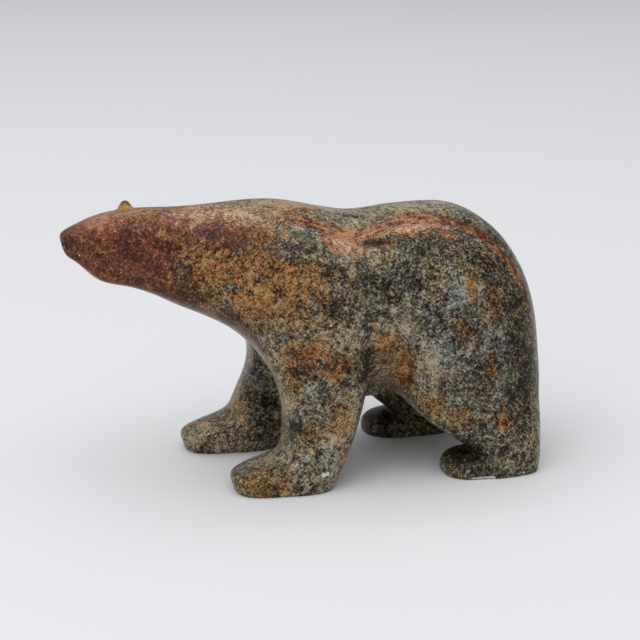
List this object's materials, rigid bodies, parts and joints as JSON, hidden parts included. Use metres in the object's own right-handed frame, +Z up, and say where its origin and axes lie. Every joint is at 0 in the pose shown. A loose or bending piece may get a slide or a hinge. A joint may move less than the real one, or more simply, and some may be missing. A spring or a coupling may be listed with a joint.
{
  "type": "soapstone bear carving",
  "caption": "Polished soapstone carving of a walking bear with a low, stretched neck and head, standing on its own flat-cut paws as a shelf or table ornament.",
  "frame": {"origin": "on the surface it stands on, below the middle of the carving's box", "axes": "+Z up, the bear faces -X, its left side is towards -Y"},
  "size_m": [0.1982, 0.0842, 0.1151],
  "materials": {
    "soapstone": "hand-polished, mottled red-brown, ochre and grey-green"
  },
  "bodies": {
    "root": {"bear_carving": "soapstone"}
  },
  "joints": []
}
